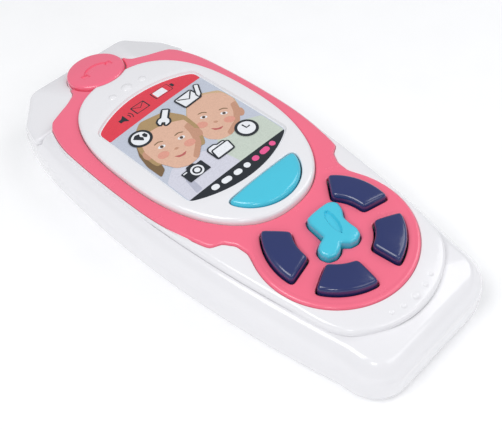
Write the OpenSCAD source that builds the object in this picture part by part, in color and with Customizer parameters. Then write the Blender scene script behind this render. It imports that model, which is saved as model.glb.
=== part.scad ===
// Toy cell phone: two white shells, a pink front frame and seven spring-back buttons.
// It lies on its back: +Z points out of the front face and +Y to the call-button end.
// The origin is the middle of the resting face.

/* [Body] */
// Length of the phone
body_length = 148; // [148:1:154]
// Width at the widest place
body_width = 66; // [66:1:70]
// Height of the pink face above the resting face
face_height = 21; // [21:0.5:23]
// Radius of the plan curve of each long side
side_radius = 340; // [320:10:420]
// Thickness of the moulded walls
wall = 2; // [1.8:0.1:2.2]

/* [Front] */
// Radius of the round keypad
keypad_radius = 21.7; // [21.5:0.1:22]
// Radius of the round call button
call_radius = 9.5; // [9:0.1:9.6]
// How far the number keys stand above the pink face
key_height = 2.8; // [2:0.1:3]
// Travel of a pressed button
press_travel = 1.3; // [0.8:0.1:1.4]

/* [Battery] */
// Diameter of an AAA cell
cell_diameter = 10.5; // [10:0.1:10.5]
// Length of an AAA cell with its tip
cell_length = 44.5; // [43:0.5:44.5]

/* [Hidden] */
$fn = 48;
cut = 0.1;                              // overshoot of cutting solids
gap = 0.35;                             // clearance round a moving button

// Plan of the body
half_length = body_length / 2;
half_width = body_width / 2;
widest_y = 18.5;                        // place of the widest section
end_round = 10;                         // corner radius at the keypad end
top_flat = 19;                          // half width of the straight top end
top_chamfer = [27.8, 63.5];             // where a top corner chamfer meets the side
floor_round = 3;
shoulder_start = 8;                     // height where the side wall starts to curve in
shoulder_in = 4.5;                      // how far the shoulder curves in
rim_z = face_height - 4;                // top of the rear cover's rim
seam_z = 12.4;                          // joint line of the two covers round the top end

// Heights of the front
deck_z = face_height - 1.2;             // top of the front cover's deck
deck_under = deck_z - 1.5;
plateau_z = face_height - 0.4;          // white margin round the keypad
bezel_z = face_height + 1.2;
label_z = face_height + 0.3;            // floor of the screen recess
flange_top = deck_under - 0.3;
flange_thick = 0.8;
board_top = flange_top - flange_thick - 3.3;
board_thick = 1.4;
well_z = 16.8;                          // floor of the call button's well
well_under = 15.4;
call_top = face_height - 0.2;
call_flange_top = well_under - 0.3;
call_board_top = call_flange_top - flange_thick - 3.3;

// Places in plan
keypad = [0, -39.2];
call = [0, 61.8];
crescent = [1, -18.4];
note = keypad + [-1, -1.5];
key_inner = 10.4;
key_outer = 18.8;
upper_key = [133, 190];                 // angles of the upper left key
lower_key = [207, 259];                 // angles of the lower left key
key_middle = (key_inner + key_outer) / 2;
plateau = [0, -41.8];
plateau_radius = 25.8;
speaker = [0, -42];
bay = [-13, 13, -2, 48];                // battery bay: x0, x1, y0, y1
bay_roof = cell_diameter + 2.5;
door = [-15.3, 15.3, -3.5, 56.7];
hinge = [-4.9, 1.1];                    // y and z of the battery door's hinge line
door_post = [0, 53];
case_posts = [[-20.5, 52], [20.5, 52], [-13, -59.5], [13, -59.5]];
board_posts = [[-18.5, -13], [18.5, -13], [0, -59.4]];
call_posts = [[-11, 54.5], [11, 54.5]];
switch_at = [0, -16];
cell_x = 5.9;                           // the two cells lie side by side
cell_z = 2.35 + cell_diameter / 2;

// ---- outline helpers ----
function arc(center, r, a0, a1, n) =
    [for (i = [0:n]) center + r * [cos(a0 + (a1 - a0) * i / n), sin(a0 + (a1 - a0) * i / n)]];
function side_x(y, inset) =
    half_width - inset - (side_radius - sqrt(pow(side_radius, 2) - pow(y - widest_y, 2)));
function mirrored(pts) = [for (i = [len(pts) - 1:-1:0]) [-pts[i][0], pts[i][1]]];
function both_sides(right) = concat(right, mirrored(right));

// Right half of the body outline from the keypad end to the top end, drawn in by inset.
function body_right(inset) =
    let (
        corner_y = -half_length + end_round,
        corner_r = max(end_round - inset, 1),
        corner_x = side_x(corner_y + 1.5, inset) - corner_r,
        low = -half_length + inset + corner_r,
        top_y = half_length - inset,
        side_top = top_chamfer[1] - inset * 0.4
    )
    concat(
        arc([corner_x, low], corner_r, -90, -8, 8),
        [for (i = [1:14]) let (y = low + (side_top - low) * i / 14) [side_x(y, inset) - top_pinch(y), y]],
        [[top_flat + 2 - inset * 0.4, top_y - 1.2], [top_flat - inset * 0.4, top_y]]
    );
// The sides draw in a little more towards the top chamfers.
function top_pinch(y) = y > 45 ? 1.6 * pow((y - 45) / 20, 2) : 0;
function body_outline(inset) = both_sides(body_right(inset));

// Closed solid through a stack of outlines with the same number of points.
module loft(rings, heights) {
    n = len(rings[0]);
    top = len(rings) - 1;
    points = [for (k = [0:top]) for (p = rings[k]) [p[0], p[1], heights[k]]];
    sides = [for (k = [0:top - 1]) for (i = [0:n - 1])
        [k * n + i, (k + 1) * n + i, (k + 1) * n + (i + 1) % n, k * n + (i + 1) % n]];
    ends = [[for (i = [0:n - 1]) i], [for (i = [n - 1:-1:0]) top * n + i]];
    polyhedron(points = points, faces = concat(ends, sides));
}

// ---- plan outlines of the front ----
// Outer edge of the pink frame along a long side.
function pink_x(y) = side_x(y, shoulder_in + 0.1)
    - (y < 5 ? 1.7 * pow((5 - y) / 21.6, 2) : 0)
    - (y > 38 ? 2.4 * pow((y - 38) / 14.5, 2) : 0);
function pink_side(y0, y1, n) = [for (i = [0:n]) let (y = y0 + (y1 - y0) * i / n) [pink_x(y), y]];
function pink_right() = concat(
    arc(keypad, keypad_radius, -90, 24, 14),
    [[19, -27.8], [19.3, -24], [21.2, -20.8], [24, -19.2]],
    pink_side(-18, 52.5, 14),
    [[23.4, 54.2], [16, 56.6], [11.2, 59.4]],
    arc(call, 11, -4, 30, 3));
function front_x(y) = side_x(y, shoulder_in + 0.1) - (y > 38 ? 2.4 * pow((y - 38) / 14.5, 2) : 0);
function front_right(inset) = concat(
    arc(plateau, plateau_radius - inset, -90, -39, 8),
    [for (i = [0:20]) let (y = -55 + (108.1 - inset) * i / 20) [front_x(y) - inset, y]]);
// Oval of the bezel, fuller at the top than at the keypad end.
function oval_point(a, grow) =
    let (n = sin(a) > 0 ? 2.6 : 2.3, b = sin(a) > 0 ? 38 : 42)
    [sign(cos(a)) * (24.4 + grow) * pow(abs(cos(a)), 2 / n),
     16 + sign(sin(a)) * (b + grow) * pow(abs(sin(a)), 2 / n)];
function oval(grow) = [for (i = [0:55]) oval_point(i * 360 / 56, grow)];

module screen_plan(grow) {
    offset(3 + grow) intersection() {
        translate([-15.4, -20]) square([30.8, 80]);
        translate([0, 6.7]) circle(30.5);
        translate([0, 22.6]) circle(30.5);
    }
}
module crescent_plan(grow) {
    offset(1.1 + grow) difference() {
        translate([0.3, -10.4]) circle(11.8);
        translate([-20, -15.4]) square([40, 40]);
    }
}
module note_plan(grow) {
    translate(keypad) offset(1.2 + grow) polygon([
        [-1.6, 5.8], [2.2, 6.4], [5.2, 5.7], [5.8, 4.6], [3.8, 1.4], [3.4, -3.6], [2, -5.4],
        [-0.6, -5.2], [-3.4, -4], [-6.8, -3.8], [-7.4, -2], [-5.8, -1], [-2.6, -0.4]]);
}
// Ring segment with rounded corners between two angles; mirror_x puts it on the other side.
module key_plan(angles, right, grow) {
    corner = 1.3;
    translate(keypad) mirror([right ? 1 : 0, 0]) offset(corner + grow) polygon(concat(
        arc([0, 0], key_outer - corner, angles[0] + 5, angles[1] - 5, 8),
        arc([0, 0], key_inner + corner, angles[1] - 8, angles[0] + 8, 6)));
}

// ---- body solids ----
// The front falls away towards both ends: how far it lies below the face at y.
function crown(y) = y > 35 ? 2.8 * pow((y - 35) / 30, 2) : y < -45 ? 1.6 * pow((y + 45) / 22, 2) : 0;
// Layer between two heights that follows the crown.
module crowned(low, high) {
    stations = [-80, -75, -70, -66, -62, -58, -54, -49, -45, 35, 40, 44, 48, 52, 56, 60, 64, 68, 72, 76, 80];
    turn = [for (i = [len(stations) - 1:-1:0]) stations[i]];
    rotate([90, 0, 90]) translate([0, 0, -50]) linear_extrude(100)
        polygon(concat([for (y = stations) [y, low - crown(y)]], [for (y = turn) [y, high - crown(y)]]));
}
module body_solid(inset, low, high) {
    round_steps = [0:22.5:67.5];
    shoulder_steps = [0:15:90];
    loft(
        concat(
            [for (t = round_steps) body_outline(inset + (floor_round - 0.5 * inset) * (1 - sin(t)))],
            [for (t = shoulder_steps) body_outline(inset + shoulder_in * (1 - cos(t)))],
            [body_outline(inset + shoulder_in + 3.5)]),
        concat(
            [for (t = round_steps) low + (floor_round - 0.5 * inset) * (1 - cos(t))],
            [for (t = shoulder_steps) shoulder_start + (high - shoulder_start) * sin(t)],
            [high + 2.4]));
}
// Space above the joint line of the two covers at the top end.
module forehead_space(lift) {
    rotate([90, 0, 90]) translate([0, 0, -50]) linear_extrude(100)
        polygon([
            [52.6 + lift, 30], [52.6 + lift, rim_z - 1.2 + lift], [57 + lift, seam_z + lift],
            [90, seam_z + lift], [90, 30]]);
}
module front_space(inset, low) {
    translate([0, 0, low]) linear_extrude(30) polygon(both_sides(front_right(inset)));
}
module upright(at, r, low, high) { translate([at[0], at[1], low]) cylinder(r = r, h = high - low); }
module block(x0, x1, y0, y1, z0, z1) { translate([x0, y0, z0]) cube([x1 - x0, y1 - y0, z1 - z0]); }
module column(low, high) { translate([0, 0, low]) linear_extrude(high - low) children(); }

module rear_cover() {
    color("white") difference() {
        union() {
            difference() {
                intersection() {
                    body_solid(0, 0, rim_z);
                    crowned(-30, deck_z - 0.4);
                }
                intersection() {
                    body_solid(wall, wall, rim_z - wall);
                    block(-50, 50, -90, 90, wall, rim_z - 1.5);
                    crowned(-30, deck_z - 2.4);
                }
                front_space(0, rim_z - 1.6);
                forehead_space(0);
            }
            block(bay[0] - 1.5, bay[1] + 1.5, bay[2] - 1.5, bay[3] + 1.5, wall - cut, bay_roof + 1.2);
            for (p = case_posts) upright(p, 2.8, wall - cut, 9.9);
            upright(door_post, 3, 5, 9);
            block(-3, 3, door_post[1] - 3, door_post[1] + 3, 5, 9);
            for (x = [-13.5, 9.5]) block(x, x + 4, 49, 55.5, wall - cut, 8.2);
            block(-13.5, 13.5, 49, 56.4, 6, 8.2);
        }
        block(bay[0], bay[1], bay[2], bay[3], 1.4, bay_roof);
        block(bay[0], bay[1], bay[2], bay[3], -cut, 2);
        block(door[0] - 0.35, door[1] + 0.35, door[2] - 0.6, door[3] + 0.35, -cut, 1.45);
        for (x = [-9, 9]) block(x - 3.4, x + 3.4, hinge[0] - 1.7, door[2], -cut, 2.5);
        for (p = case_posts) {
            upright(p, 2.5, -cut, 5);
            upright(p, 1.3, 5 - cut, 10);
        }
        upright(door_post, 3.6, -cut, 4.6);
        upright(door_post, 1.4, 4, 9.5);
        speaker_holes();
        translate([switch_at[0], switch_at[1], 0]) block(-4.6, 4.6, -2.3, 2.3, -cut, wall + cut);
        contact_slots();
    }
}
module speaker_holes() {
    upright(speaker, 0.9, -cut, wall + cut);
    for (ring = [1:3], i = [0:ring * 6 - 1])
        upright(speaker + 3.2 * ring * [cos(60 * i / ring), sin(60 * i / ring)], 0.9, -cut, wall + cut);
}
module contact_slots() {
    for (y = [bay[2] - 1.8, bay[3] + 0.6], x = [-6, 6]) block(x - 1, x + 1, y, y + 1.2, 9, 11);
}

module front_cover() {
    color("white") difference() {
        union() {
            difference() {
                union() {
                    intersection() {
                        front_space(0.1, rim_z - 1.5);
                        block(-50, 50, -90, 53, 0, 30);
                        crowned(0, deck_z);
                    }
                    intersection() {
                        crowned(deck_z - 1, plateau_z);
                        column(0, 30) polygon(both_sides(concat(
                            arc(plateau, plateau_radius - 0.4, -90, -39, 8),
                            [for (y = [-55:6:-13]) [front_x(y) - 0.4, y]])));
                    }
                    intersection() {
                        body_solid(0, 0, rim_z);
                        forehead_space(0.1);
                        crowned(0, deck_z);
                    }
                }
                intersection() {
                    front_space(wall, 0);
                    block(-50, 50, -90, 44, 0, deck_under);
                    union() {
                        block(-50, 50, -58, 44, 0, 30);
                        crowned(0, deck_under);
                    }
                }
                intersection() {
                    body_solid(wall, wall, rim_z - wall);
                    block(-50, 50, 43.9, 90, 0, well_under);
                }
            }
            upright(call, 11.1, well_under, call_top - 2);
            for (p = case_posts) upright(p, 2.8, 10, deck_under + cut);
            for (p = board_posts) upright(p, 2.1, board_top, deck_under + cut);
            for (p = call_posts) upright(p, 2.1, call_board_top, well_under + cut);
        }
        upright(call, call_radius + gap, well_z, 30);
        upright(call, 6.5 + gap, 0, 30);
        column(0, 30) { crescent_plan(gap); note_plan(gap); }
        key_holes(0, 30);
        for (p = case_posts) upright(p, 1.15, 9, 15.5);
        for (p = board_posts) upright(p, 0.85, board_top - 1, board_top + 3.6);
        for (p = call_posts) upright(p, 0.85, call_board_top - 1, call_board_top + 3.2);
        intersection() {
            crowned(deck_z, 40);
            column(0, 30) polygon(both_sides(pink_right()));
        }
        for (x = [-7.4, -4.1, 4.1, 7.4]) mic_dimple(x, 0.55);
        mic_dimple(0, 0.85);
    }
}
// Shallow dimple on an arc concentric with the keypad.
module mic_dimple(x, r) {
    y = plateau[1] - sqrt(23.2 * 23.2 - x * x);
    translate([x, y, plateau_z - crown(y)]) sphere(r);
}
module key_holes(low, high) {
    column(low, high) for (right = [false, true]) {
        key_plan(upper_key, right, gap);
        key_plan(lower_key, right, gap);
    }
}

module pink_frame() {
    color([0.98, 0.46, 0.56]) difference() {
        intersection() {
            column(0, 30) polygon(both_sides(pink_right()));
            difference() {
                crowned(deck_z, face_height + 0.3);
                intersection() {
                    crowned(face_height, 40);
                    upright(keypad, keypad_radius - 1.3, 0, 30);
                }
            }
        }
        column(0, 30) polygon(oval(0.05));
        upright(call, call_radius + gap, 0, 30);
        column(0, 30) note_plan(gap);
        key_holes(0, 30);
    }
}
module screen_bezel() {
    color("white") difference() {
        intersection() {
            column(0, 30) polygon(oval(-0.05));
            crowned(deck_z, bezel_z);
        }
        column(label_z, 30) screen_plan(0);
        column(0, 30) crescent_plan(gap);
        upright(call, call_radius + gap, 0, 30);
    }
}
module screen_label() {
    color("gainsboro") column(label_z, label_z + 0.25) screen_plan(-0.1);
}

// ---- buttons ----
// Cap with a wider flange that stops it under the deck.
module cap(top, grow) {
    column(flange_top - flange_thick, flange_top) offset(grow) children();
    column(flange_top - cut, top) children();
}
module call_button() {
    handset_z = call_top - 0.4;
    color([0.98, 0.46, 0.56]) difference() {
        union() {
            upright(call, call_radius, well_z + press_travel + 0.3, call_top);
            upright(call, 6.5, call_flange_top - cut, well_z + 2);
            intersection() {
                upright(call, 7.6, call_flange_top - flange_thick, call_flange_top);
                block(-10, 10, 50, 66.8, 0, 30);
            }
        }
        translate([call[0], call[1], handset_z]) linear_extrude(2) {
            for (x = [-4.6, 4.6]) translate([x - 0.9, -1.2]) square([1.8, 1.5]);
            translate([0, -4]) polygon(concat(arc([0, 0], 5.2, 50, 130, 8), arc([0, 0], 4.2, 130, 50, 8)));
        }
    }
}
module crescent_button() { color("turquoise") cap(bezel_z + 1.2, 0.7) crescent_plan(0); }
module note_button() {
    color("turquoise") difference() {
        cap(face_height + key_height, 0.5) note_plan(0);
        translate([note[0] + 1.6, note[1] + 2, face_height + key_height - 0.7]) rotate(-28) linear_extrude(2)
            intersection() { translate([-3.4, 0]) circle(5); translate([3.4, 0]) circle(5); }
    }
}
module number_key(angles, right) {
    color([0.2, 0.24, 0.45]) cap(face_height + key_height, 0.7) key_plan(angles, right, 0);
}
// Silicone dome that pushes a button back up.
module dome(at, base_z, high) {
    color("lightgray") translate([at[0], at[1], base_z]) difference() {
        cylinder(r1 = 2.7, r2 = 1.7, h = high - 0.05);
        translate([0, 0, -cut]) cylinder(r1 = 2.1, r2 = 1.1, h = high - 0.7);
    }
}
dome_height = flange_top - flange_thick - board_top;
function key_center(angles, right) =
    let (a = (angles[0] + angles[1]) / 2)
    keypad + key_middle * [(right ? -1 : 1) * cos(a), sin(a)];

// ---- inside ----
module main_board() {
    color("darkgreen") difference() {
        column(board_top - board_thick, board_top) polygon(both_sides(
            [[4, -62], [8.6, -56.5], [20.5, -49], [21.5, -14], [20.5, -8]]));
        for (p = board_posts) upright(p, 1, 0, 30);
    }
}
module call_board() {
    color("darkgreen") difference() {
        block(-13.5, 13.5, 51, 70.6, call_board_top - 1.2, call_board_top);
        for (p = call_posts) upright(p, 1, 0, 30);
    }
}
module chip_blob() {
    color("black") translate([0, -26, board_top - board_thick]) intersection() {
        translate([0, 0, 3]) sphere(5.2);
        block(-8, 8, -8, 8, -1.3, 0);
    }
}
module speaker_frame() {
    color("silver") difference() {
        union() {
            upright(speaker, 14, wall, 3.4);
            translate([speaker[0], speaker[1], 3.3]) cylinder(r1 = 12.6, r2 = 8, h = 2.3);
        }
        translate([speaker[0], speaker[1], wall - cut]) cylinder(r1 = 12.8, r2 = 6.5, h = 3.4);
        upright(speaker, 5.9, 4, 8);
    }
}
module speaker_cone() {
    color("dimgray") translate([speaker[0], speaker[1], 0]) rotate_extrude() polygon([
        [2.6, 4.0], [11.6, 2.3], [11.9, 2.3], [11.9, 2.1], [11.3, 2.1], [2.6, 3.7],
        [0, 3.0], [0, 3.3], [2.4, 4]]);
}
module speaker_magnet() { color("slategray") upright(speaker, 5.8, 4.4, 7.4); }
module battery(x, flip) {
    tip_y = flip ? bay[2] + 1 : bay[3] - 1;
    way = flip ? -90 : 90;             // the cell's body lies behind its tip
    color("gold") translate([x, tip_y, cell_z]) rotate([way, 0, 0]) {
        cylinder(d = 3.8, h = 1.2);
        translate([0, 0, 1]) cylinder(d = cell_diameter, h = cell_length - 1);
    }
}
// Tube swept along points, with an 8-sided section; side is a direction the route never follows.
function direction(p, i) =
    let (a = p[max(i - 1, 0)], b = p[min(i + 1, len(p) - 1)]) (b - a) / norm(b - a);
function ring_points(p, i, r, side) =
    let (d = direction(p, i), u = cross(d, side) / norm(cross(d, side)), v = cross(d, u))
    [for (k = [0:7]) p[i] + r * (cos(45 * k) * u + sin(45 * k) * v)];
module tube(p, r, side = [1, 0, 0]) {
    top = len(p) - 1;
    polyhedron(
        points = [for (i = [0:top]) each ring_points(p, i, r, side)],
        faces = concat(
            [[for (k = [7:-1:0]) k]],
            [for (i = [0:top - 1], k = [0:7])
                [i * 8 + k, i * 8 + (k + 1) % 8, (i + 1) * 8 + (k + 1) % 8, (i + 1) * 8 + k]],
            [[for (k = [0:7]) top * 8 + k]]));
}
// Conical coil whose axis runs along Y.
module coil(x, y, way) {
    turns = 3;
    tube([for (i = [0:turns * 10]) let (t = i / 10, r = 3.4 - 0.5 * t)
        [x + r * cos(360 * t), y + way * (0.6 + 0.6 * t), cell_z + r * sin(360 * t)]], 0.25, [0, 1, 0]);
}
module contact_springs() {
    color("silver") {
        coil(-cell_x, bay[2], 1);
        coil(cell_x, bay[3], -1);
    }
}
module contact_plates() {
    color("silver") {
        for (x = [-cell_x, cell_x], y = [bay[2] + 0.02, bay[3] - 0.32])
            block(x - 4, x + 4, y, y + 0.3, 4, 12);
    }
}
module battery_door() {
    color("white") difference() {
        union() {
            block(door[0], door[1], door[2], door[3], 0.1, 1.3);
            for (x = [-9, 9]) {
                translate([x - 3, hinge[0], hinge[1]]) rotate([0, 90, 0]) cylinder(r = 0.9, h = 6);
                block(x - 3, x + 3, hinge[0], door[2] + cut, 0.25, 1.3);
            }
            upright(door_post, 3.1, 0.1, 3.6);
            for (x = [-4:2:4]) block(x - 0.4, x + 0.4, 38, 46, 0, 0.3);
        }
        upright(door_post, 2.3, -cut, 2.2);
        upright(door_post, 1.1, 2, 4);
    }
}
module screw(at, head_low, head_high, head_r, shaft_r, tip) {
    difference() {
        union() {
            upright(at, head_r, head_low, head_high);
            upright(at, shaft_r, head_high - cut, tip);
        }
        for (a = [0, 90]) translate([at[0], at[1], head_low]) rotate(a)
            cube([head_r * 1.3, 0.5, 1.2], center = true);
    }
}
module door_screw() { color("silver") screw(door_post, 0.7, 2.2, 2.1, 1.05, 6.8); }
module case_screws() { color("silver") for (p = case_posts) screw(p, 3.2, 5, 2.3, 1.1, 14.5); }
module board_screws() {
    color("silver") {
        for (p = board_posts)
            screw(p, board_top - board_thick - 1.2, board_top - board_thick, 1.7, 0.8, board_top + 3.2);
        for (p = call_posts)
            screw(p, call_board_top - 2.4, call_board_top - 1.2, 1.7, 0.8, call_board_top + 2.8);
    }
}
module switch_body() {
    color("black") difference() {
        block(switch_at[0] - 6, switch_at[0] + 6, switch_at[1] - 3, switch_at[1] + 3, wall + 0.1, 6.4);
        block(switch_at[0] - 4.4, switch_at[0] + 4.4, switch_at[1] - 2, switch_at[1] + 2, wall, 4.6);
    }
}
module switch_slider() {
    color("dimgray") {
        block(switch_at[0] - 2.9, switch_at[0] + 0.3, switch_at[1] - 1.7, switch_at[1] + 1.7, 0.5, 4.3);
        for (x = [-2.6, -1.5, -0.4])
            block(switch_at[0] + x, switch_at[0] + x + 0.4, switch_at[1] - 1.5, switch_at[1] + 1.5, 0.3, 0.6);
    }
}
wire_r = 0.5;
solder_z = board_top - board_thick - 0.05; // where a wire ends under the main board
module speaker_wires() {
    color("red") for (x = [6.2, 9])
        let (y = speaker[1] + sqrt(144 - x * x))
        tube([[x, y, 4], [x, y, 4.8], [x + 0.3, y + 0.8, 6.4], [x + 0.4, -30.4, 8.4],
              [x + 0.3, -29.6, 10.4], [x, -29.4, 11.6], [x, -29.4, solder_z]], wire_r);
}
module battery_wires() {
    color("black") for (s = [-1, 1])
        tube([[s * 5.9, -3.7, 10], [s * 6.5, -6, 9], [s * 8, -9, 9], [s * 9.5, -11.4, 10],
              [s * 10, -12, 11.4], [s * 10, -12, solder_z]], wire_r);
}
module call_wires() {
    color("yellow") for (s = [0, 1])
        let (x = -15.35 - 1.45 * s, y = 58 + 1.5 * s)
        tube([[-10.8, y, call_board_top - 1.25], [-10.9, y, 8.9], [-11.8, y, 7.6], [-13.4 - s, y, 6.8],
              [x + 0.5, y - 1.2, 6.2], [x, y - 3, 5.8], [x, 52, 5.4], [x, 46, 5], [x, 34, 4.8],
              [x, 20, 4.6], [x, 6, 4.8], [x, -2, 5.6], [x, -6.6, 7.4], [x, -9.4, 9.8],
              [x, -10.2, 11.4], [x, -10.2, solder_z]], wire_r);
}

rear_cover();
front_cover();
pink_frame();
screen_bezel();
screen_label();
call_button();
crescent_button();
note_button();
number_key(upper_key, false);  // key_upper_left
number_key(lower_key, false);  // key_lower_left
number_key(lower_key, true);  // key_lower_right
number_key(upper_key, true);  // key_upper_right
dome(call, call_board_top, dome_height);  // call_dome
dome(crescent, board_top, dome_height);  // crescent_dome
dome(note, board_top, dome_height);  // note_dome
dome(key_center(upper_key, false), board_top, dome_height);  // dome_upper_left
dome(key_center(lower_key, false), board_top, dome_height);  // dome_lower_left
dome(key_center(lower_key, true), board_top, dome_height);  // dome_lower_right
dome(key_center(upper_key, true), board_top, dome_height);  // dome_upper_right
main_board();
call_board();
chip_blob();
speaker_frame();
speaker_cone();
speaker_magnet();
battery(-cell_x, false);  // battery_left
battery(cell_x, true);  // battery_right
contact_springs();
contact_plates();
battery_door();
door_screw();
case_screws();
board_screws();
switch_body();
switch_slider();
speaker_wires();
battery_wires();
call_wires();
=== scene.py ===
import math

import bmesh
import bpy
import numpy as np
from mathutils import Matrix, Vector
from mathutils.geometry import delaunay_2d_cdt


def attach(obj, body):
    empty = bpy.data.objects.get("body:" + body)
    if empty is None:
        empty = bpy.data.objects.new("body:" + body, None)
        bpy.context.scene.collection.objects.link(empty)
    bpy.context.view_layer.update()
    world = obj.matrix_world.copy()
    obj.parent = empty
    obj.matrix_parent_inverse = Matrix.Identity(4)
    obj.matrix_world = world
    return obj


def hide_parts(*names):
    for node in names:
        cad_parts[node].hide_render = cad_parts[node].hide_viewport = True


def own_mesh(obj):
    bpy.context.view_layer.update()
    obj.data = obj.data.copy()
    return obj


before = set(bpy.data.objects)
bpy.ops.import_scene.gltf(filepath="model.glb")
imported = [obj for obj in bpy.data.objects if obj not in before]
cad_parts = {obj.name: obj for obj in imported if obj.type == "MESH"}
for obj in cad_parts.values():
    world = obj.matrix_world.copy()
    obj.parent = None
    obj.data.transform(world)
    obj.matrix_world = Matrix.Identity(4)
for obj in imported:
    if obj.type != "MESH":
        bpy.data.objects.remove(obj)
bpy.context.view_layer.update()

# All shape numbers are millimetres in the CAD frame; meshes are scaled to metres when they are made.
MM = 0.001
HALF_WIDTH = 33.0
HALF_LENGTH = 74.0
SIDE_RADIUS = 340.0
WIDEST_Y = 18.5
FACE_Z = 21.0
KEYPAD = (0.0, -39.2)
KEYPAD_RADIUS = 21.8
CALL = (0.0, 61.8)
CALL_RADIUS = 9.5
PLATEAU = (0.0, -41.8)
PLATEAU_RADIUS = 25.8
GAP = 0.35
SEAM_Z = 12.4
ARM_END = -4
FOREHEAD_Y = 52.9


# ---------------------------------------------------------------- outlines
def arc(center, radius, start, end, steps):
    """Points on an arc, angles in degrees."""
    angles = [math.radians(start + (end - start) * i / steps) for i in range(steps + 1)]
    return [(center[0] + radius * math.cos(a), center[1] + radius * math.sin(a)) for a in angles]


def circle(center, radius, steps=64):
    return arc(center, radius, 0, 360 - 360 / steps, steps - 1)


def long_crown(y):
    """How far the front falls from its middle towards the two ends."""
    return 3.9 * (y / 75) ** 2


def crown(x, y):
    """How far the front lies below its middle height: it falls towards the ends and the long sides."""
    return long_crown(y) + 1.7 * (x / 28.4) ** 4


def side_x(y, inset):
    return HALF_WIDTH - inset - (SIDE_RADIUS - math.sqrt(SIDE_RADIUS**2 - (y - WIDEST_Y) ** 2))


def both_sides(right):
    return right + [(-x, y) for x, y in reversed(right)]


def area(loop):
    pairs = zip(loop, loop[1:] + loop[:1])
    return sum(a[0] * b[1] - b[0] * a[1] for a, b in pairs) / 2


def resampled(loop, spacing):
    """Closed loop with evenly spaced points, counter-clockwise."""
    pts = np.array(loop + loop[:1], float)
    lengths = np.hypot(*np.diff(pts, axis=0).T)
    along = np.concatenate([[0], np.cumsum(lengths)])
    count = max(8, int(round(along[-1] / spacing)))
    at = np.linspace(0, along[-1], count, endpoint=False)
    out = list(zip(np.interp(at, along, pts[:, 0]).tolist(), np.interp(at, along, pts[:, 1]).tolist()))
    return out if area(out) > 0 else out[::-1]


def softened(loop, spacing, corner):
    """Evenly spaced loop whose corners are rounded over about `corner` millimetres."""
    fine = np.array(resampled(loop, spacing / 2))
    passes = max(1, int((corner / (spacing / 2)) ** 2 / 2))
    for _ in range(passes):
        fine = fine * 0.5 + (np.roll(fine, 1, 0) + np.roll(fine, -1, 0)) * 0.25
    return resampled([tuple(p) for p in fine.tolist()], spacing)


def shifted(loop, distance):
    """Loop moved inwards by distance, or outwards where it is negative."""
    pts = np.array(loop)
    along = np.roll(pts, -1, 0) - np.roll(pts, 1, 0)
    normal = np.stack([-along[:, 1], along[:, 0]], 1)
    normal /= np.linalg.norm(normal, axis=1)[:, None]
    return [tuple(p) for p in (pts + normal * distance).tolist()]


def moved(loop, dx, dy, turn=0.0, scale=1.0):
    c, s = math.cos(math.radians(turn)) * scale, math.sin(math.radians(turn)) * scale
    return [(dx + c * x - s * y, dy + s * x + c * y) for x, y in loop]


def inside(points, loop):
    """For each point, whether it lies in the loop."""
    pts = np.asarray(points, float).reshape(-1, 2)
    a = np.asarray(loop, float)
    b = np.roll(a, -1, 0)
    hits = np.zeros(len(pts), bool)
    for (ax, ay), (bx, by) in zip(a, b):
        if ay == by:
            continue
        crosses = (ay > pts[:, 1]) != (by > pts[:, 1])
        at = ax + (pts[:, 1] - ay) * (bx - ax) / (by - ay)
        hits ^= crosses & (pts[:, 0] < at)
    return hits


# ---------------------------------------------------------------- meshes
def make(name, verts, faces, material, body, slot, sharp=38):
    """Object of one mesh in millimetres, smooth except where faces meet at more than `sharp` degrees."""
    mesh = bpy.data.meshes.new(name)
    mesh.from_pydata([(x * MM, y * MM, z * MM) for x, y, z in verts], [], faces)
    finish_mesh(mesh, sharp)
    obj = bpy.data.objects.new(name, mesh)
    bpy.context.scene.collection.objects.link(obj)
    mesh.materials.append(material)
    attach(obj, body)
    return obj


def finish_mesh(mesh, sharp):
    bm = bmesh.new()
    bm.from_mesh(mesh)
    bmesh.ops.remove_doubles(bm, verts=bm.verts, dist=1e-7)
    bmesh.ops.recalc_face_normals(bm, faces=bm.faces)
    limit = math.radians(sharp)
    for face in bm.faces:
        face.smooth = True
    for edge in bm.edges:
        edge.smooth = len(edge.link_faces) == 2 and edge.calc_face_angle(0) < limit
    bm.to_mesh(mesh)
    bm.free()


def surface(loops, hole_count, extra):
    """(points, triangles) of the area inside loops[0], outside the last hole_count loops."""
    points = [p for loop in loops for p in loop] + list(extra)
    edges = []
    start = 0
    for loop in loops:
        n = len(loop)
        edges += [(start + i, start + (i + 1) % n) for i in range(n)]
        start += n
    out, _, tris, origin, _, _ = delaunay_2d_cdt([Vector(p) for p in points], edges, [], 0, 1e-6)
    names = []
    for i, sources in enumerate(origin):
        if sources:
            names.append(sources[0])
        else:
            names.append(len(points))
            points.append(tuple(out[i]))
    flat = np.array([tuple(v) for v in out])
    middles = flat[np.array(tris)].mean(axis=1)
    keep = inside(middles, loops[0])
    for loop in loops[len(loops) - hole_count:] if hole_count else []:
        keep &= ~inside(middles, loop)
    return points, [tuple(names[i] for i in t) for t, k in zip(tris, keep) if k]


def grid_points(loops, spacing):
    """Evenly spread points inside loops[0] that keep clear of every loop."""
    border = np.array([p for loop in loops for p in loop])
    lo, hi = np.array(loops[0]).min(0), np.array(loops[0]).max(0)
    rows = []
    for j, y in enumerate(np.arange(lo[1] + spacing / 2, hi[1], spacing * 0.87)):
        rows += [(x + (j % 2) * spacing / 2, y) for x in np.arange(lo[0], hi[0], spacing)]
    rows = np.array(rows)
    rows = rows[inside(rows, loops[0])]
    near = np.array([np.min(np.hypot(*(border - p).T)) for p in rows]) if len(rows) else np.zeros(0)
    return [tuple(p) for p in rows[near > spacing * 0.55].tolist()]


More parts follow.
